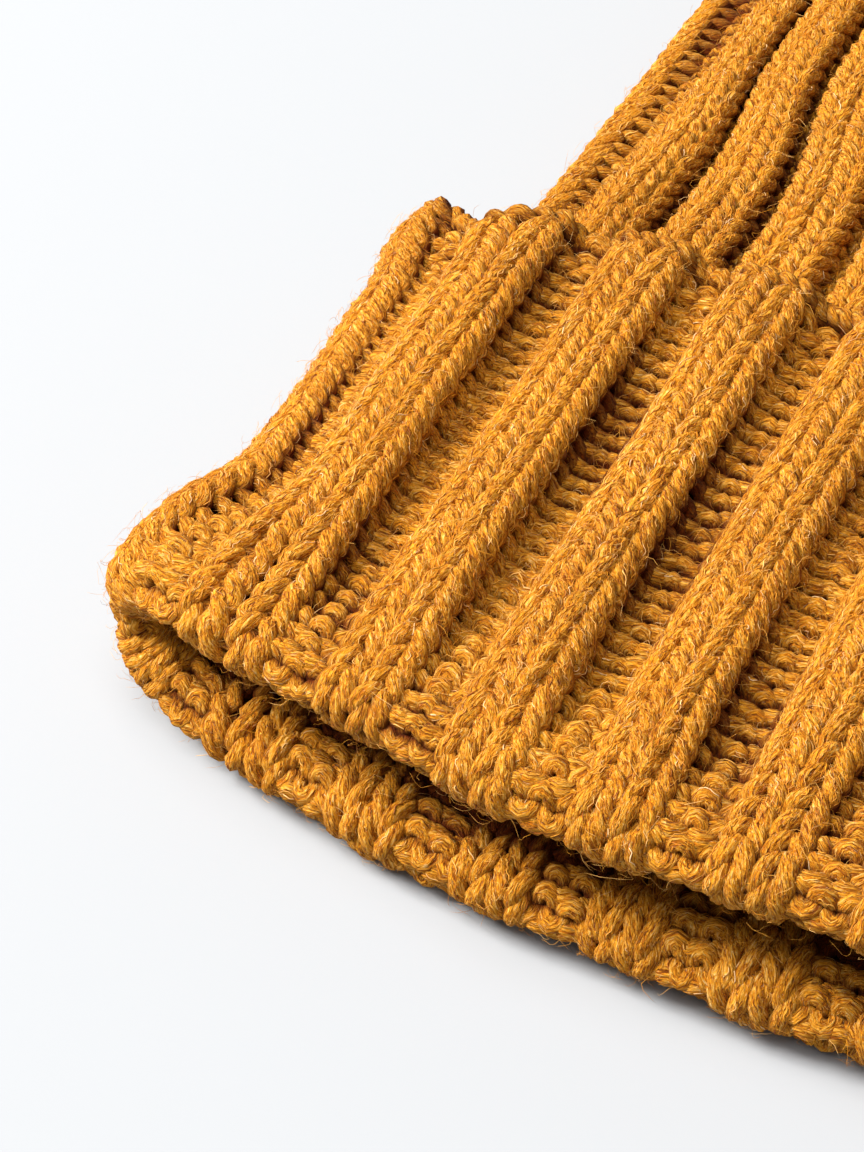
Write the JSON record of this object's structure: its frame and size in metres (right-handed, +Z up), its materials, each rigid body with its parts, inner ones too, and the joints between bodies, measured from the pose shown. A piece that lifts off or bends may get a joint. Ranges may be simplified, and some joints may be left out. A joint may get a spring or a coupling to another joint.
{
  "type": "knit beanie",
  "caption": "Ribbed knit beanie with a turned-up cuff, lying flat with its head opening open at the brim.",
  "frame": {"origin": "middle of the flat-lying hat's footprint, on the surface it lies on", "axes": "+Y from the brim to the crown, +X across the hat, +Z up through its front layer"},
  "size_m": [0.2072, 0.2286, 0.027],
  "materials": {
    "rib_knit": "mustard wool-blend yarn in two-by-two rib, soft and matt with a fibre halo",
    "yarn": "single strand of the same mustard yarn, matt"
  },
  "bodies": {
    "hat_body": {"body_tube": "rib_knit", "crown_wedge_front_left": "rib_knit", "crown_wedge_front_right": "rib_knit", "crown_wedge_back_right": "rib_knit", "crown_wedge_back_left": "rib_knit", "crown_gather": "rib_knit", "closing_yarn": "yarn", "crown_yarn_end": "yarn"},
    "cuff": {"cuff_layer": "rib_knit", "brim_fold": "rib_knit", "cast_on_edge": "yarn"}
  },
  "joints": [
    {"name": "cuff_turn", "type": "slide", "parent": "hat_body", "child": "cuff", "axis": [0, -1, 0], "range_m": [0, 0.03]}
  ]
}
